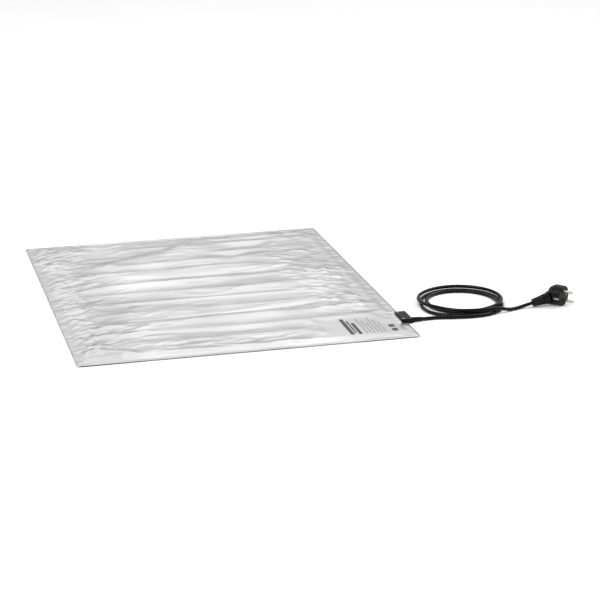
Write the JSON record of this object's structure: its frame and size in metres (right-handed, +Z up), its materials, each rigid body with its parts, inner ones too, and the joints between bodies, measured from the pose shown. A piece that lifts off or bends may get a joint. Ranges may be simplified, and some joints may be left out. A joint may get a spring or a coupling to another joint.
{
  "type": "seedling heat mat",
  "caption": "Thin rectangular heat mat of silver metallised film over a serpentine heating wire, with an edge junction block, a coiled mains cord and an angled earthed plug.",
  "frame": {"origin": "middle of the mat, on the surface that it lies on", "axes": "+X along the front edge towards the edge that carries the junction block, +Y from the front edge to the back edge, +Z up"},
  "size_m": [0.9199, 0.75, 0.0372],
  "materials": {
    "film": "satin metallised film with fine creases",
    "wire_insulation": "matte silicone",
    "wire_core": "drawn resistance alloy",
    "tape": "matte woven tape",
    "block_plastic": "fine moulded grain",
    "cord_pvc": "satin extruded PVC",
    "plug_plastic": "satin moulded PVC",
    "face_plastic": "satin moulded",
    "contact_metal": "nickel plated, worn satin",
    "rivet_metal": "dull",
    "insulation_brown": "satin",
    "insulation_blue": "satin",
    "insulation_green_yellow": "satin"
  },
  "bodies": {
    "root": {"top_film": "film", "bottom_film": "film", "heating_wire_jacket": "wire_insulation", "heating_wire_core": "wire_core", "wire_tape_left": "tape", "wire_tape_middle": "tape", "wire_tape_right": "tape", "junction_base": "block_plastic", "junction_cover": "block_plastic", "junction_rivet_front": "rivet_metal", "junction_rivet_back": "rivet_metal", "earth_lug": "contact_metal", "crimp_splice_live": "contact_metal", "crimp_splice_neutral": "contact_metal", "splice_sleeve_live": "block_plastic", "splice_sleeve_neutral": "block_plastic", "core_live": "insulation_brown", "core_neutral": "insulation_blue", "core_earth": "insulation_green_yellow", "junction_strain_relief": "cord_pvc", "cord_lead": "cord_pvc", "cord_coil": "cord_pvc", "cord_tail": "cord_pvc", "plug_body": "plug_plastic", "plug_strain_relief": "plug_plastic", "plug_face": "face_plastic", "live_pin": "contact_metal", "neutral_pin": "contact_metal", "earth_socket": "contact_metal", "earth_clip_near": "contact_metal", "earth_clip_far": "contact_metal"}
  },
  "joints": []
}
